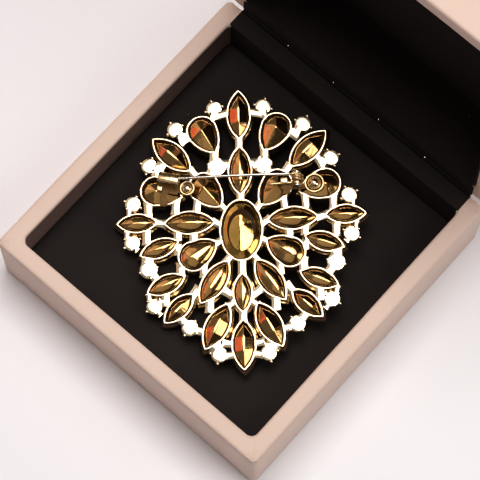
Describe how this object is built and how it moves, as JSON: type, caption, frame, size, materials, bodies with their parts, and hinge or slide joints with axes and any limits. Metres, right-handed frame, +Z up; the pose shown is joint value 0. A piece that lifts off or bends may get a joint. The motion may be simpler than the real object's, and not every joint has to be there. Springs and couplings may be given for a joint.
{
  "type": "flower brooch in a hinged jewellery box",
  "caption": "Gold-toned openwork flower brooch set with amber navettes, pears and small round stones, face down on the velvet pad of an open hinged jewellery box.",
  "frame": {"origin": "centre of the underside of the box's tray", "axes": "+Z up; +Y toward the lid's hinge; +X along the hinge, so that the tray's front faces -Y"},
  "size_m": [0.09, 0.1144, 0.115],
  "materials": {
    "gold_plate": "polished gold plate on cast metal",
    "amber_glass": "faceted amber glass with a foiled back",
    "clear_crystal": "faceted clear glass with a foiled back",
    "spring_steel": "bright drawn wire",
    "leatherette": "satin embossed leatherette over board",
    "black_velvet": "short black velvet pile"
  },
  "bodies": {
    "box_and_brooch": {"casting": "gold_plate", "top_navette": "amber_glass", "upper_navette": "amber_glass", "bottom_navette": "amber_glass", "short_navette": "amber_glass", "shoulder_navette_right": "amber_glass", "inner_navette_right": "amber_glass", "lower_navette_right": "amber_glass", "foot_navette_right": "amber_glass", "side_navette_right": "amber_glass", "waist_navette_right": "amber_glass", "hip_navette_right": "amber_glass", "corner_navette_right": "amber_glass", "crest_pear_right": "amber_glass", "flank_pear_right": "amber_glass", "heart_pear_right": "amber_glass", "lower_pear_right": "amber_glass", "shoulder_navette_left": "amber_glass", "inner_navette_left": "amber_glass", "lower_navette_left": "amber_glass", "foot_navette_left": "amber_glass", "side_navette_left": "amber_glass", "waist_navette_left": "amber_glass", "hip_navette_left": "amber_glass", "corner_navette_left": "amber_glass", "crest_pear_left": "amber_glass", "flank_pear_left": "amber_glass", "heart_pear_left": "amber_glass", "lower_pear_left": "amber_glass", "centre_oval": "amber_glass", "round_stones": "clear_crystal", "catch": "gold_plate", "catch_rivet": "gold_plate", "hinge_bracket": "gold_plate", "hinge_rivet": "gold_plate", "coil_axle": "spring_steel", "coil_spring": "spring_steel", "box_tray": "leatherette", "tray_pad": "black_velvet", "tray_lining": "black_velvet", "box_hinge_pin": "spring_steel"},
    "lid": {"box_lid": "leatherette", "lid_lining": "black_velvet"},
    "pin": {"pin_stem": "spring_steel"}
  },
  "joints": [
    {"name": "lid_hinge", "type": "hinge", "parent": "box_and_brooch", "child": "lid", "pos_m": [0, 0.0463, 0.02265], "axis": [1, 0, 0], "range_deg": [0, 90]},
    {"name": "pin_hinge", "type": "hinge", "parent": "box_and_brooch", "child": "pin", "pos_m": [0.00061, 0.01858, 0.02454], "axis": [-0.7042, -0.696, 0.1403], "range_deg": [0, 180]}
  ]
}
